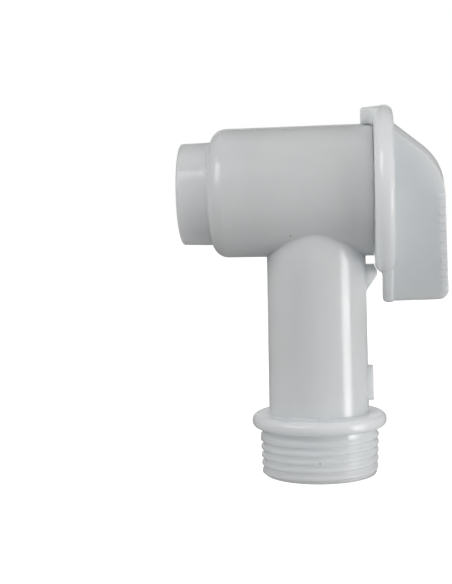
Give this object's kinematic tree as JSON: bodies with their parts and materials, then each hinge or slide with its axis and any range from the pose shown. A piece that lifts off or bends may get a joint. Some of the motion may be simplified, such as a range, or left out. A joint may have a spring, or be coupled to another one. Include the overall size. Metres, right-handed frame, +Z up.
{
  "type": "drum tap",
  "caption": "Moulded polyethylene drum tap: threaded inlet with flange, upright stem, cross barrel with open spout, and a plug turned a quarter by a winged disc handle.",
  "frame": {"origin": "centre of the open end of the inlet thread, on the inlet's axis; the tap stands on this end", "axes": "+Z up the stem from the thread to the barrel; +X along the barrel to the handle, so the spout points to -X; +Y completes the right hand, and the lever leans 30 degrees to it from the stem's direction at rest"},
  "size_m": [0.0596, 0.037, 0.0817],
  "materials": {
    "body_polyethylene": "natural white, satin, slightly translucent",
    "handle_polyethylene": "natural white, satin, slightly translucent",
    "seal_rubber": "matt black, greased"
  },
  "bodies": {
    "tap_body": {"tap_body": "body_polyethylene"},
    "handle_plug": {"handle_plug": "handle_polyethylene", "handle_end_seal": "seal_rubber", "spout_end_seal": "seal_rubber"}
  },
  "joints": [
    {"name": "handle_turn", "type": "hinge", "parent": "tap_body", "child": "handle_plug", "pos_m": [0, 0, 0.0632], "axis": [1, 0, 0], "range_deg": [-30, 60]}
  ]
}
